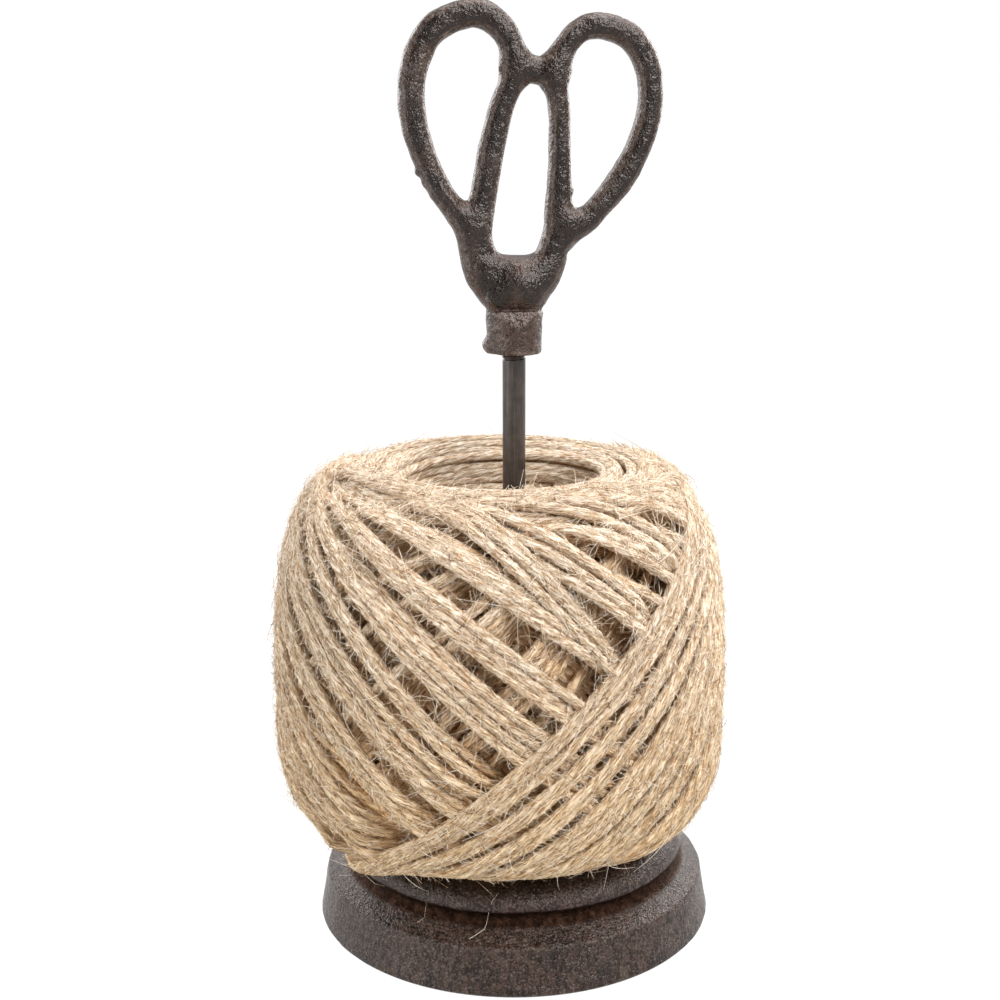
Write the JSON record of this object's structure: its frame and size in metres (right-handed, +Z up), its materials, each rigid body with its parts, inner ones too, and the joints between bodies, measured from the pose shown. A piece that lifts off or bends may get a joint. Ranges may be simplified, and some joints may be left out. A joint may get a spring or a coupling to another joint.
{
  "type": "twine stand",
  "caption": "Counter-top twine stand: a stepped cast-iron base and an upright steel rod carry a cross-wound ball of jute twine under a screw-on scissor-bow finial.",
  "frame": {"origin": "on the table under the rod's axis, at the centre of the foot", "axes": "+Z up along the rod, +X to the right and +Y away from the viewer, as pictured"},
  "size_m": [0.1108, 0.1116, 0.2251],
  "materials": {
    "cast_iron": "rough sand-cast iron, dark brown, waxed",
    "rod_steel": "blackened drawn steel",
    "fixing_steel": "plain plated steel",
    "jute_twine": "natural twisted jute, hairy"
  },
  "bodies": {
    "stand": {"base_casting": "cast_iron", "spindle_rod": "rod_steel", "washer": "fixing_steel", "lock_nut": "fixing_steel"},
    "finial": {"handle_casting": "cast_iron"},
    "twine_ball": {"twine_core": "jute_twine", "twine_outer_turns": "jute_twine"}
  },
  "joints": [
    {"name": "finial_lift", "type": "slide", "parent": "stand", "child": "finial", "axis": [0, 0, 1], "range_m": [0, 0.014]},
    {"name": "twine_spin", "type": "hinge", "parent": "stand", "child": "twine_ball", "pos_m": [-0.0036, 0, 0.07], "axis": [0, 0, 1], "continuous": true}
  ]
}
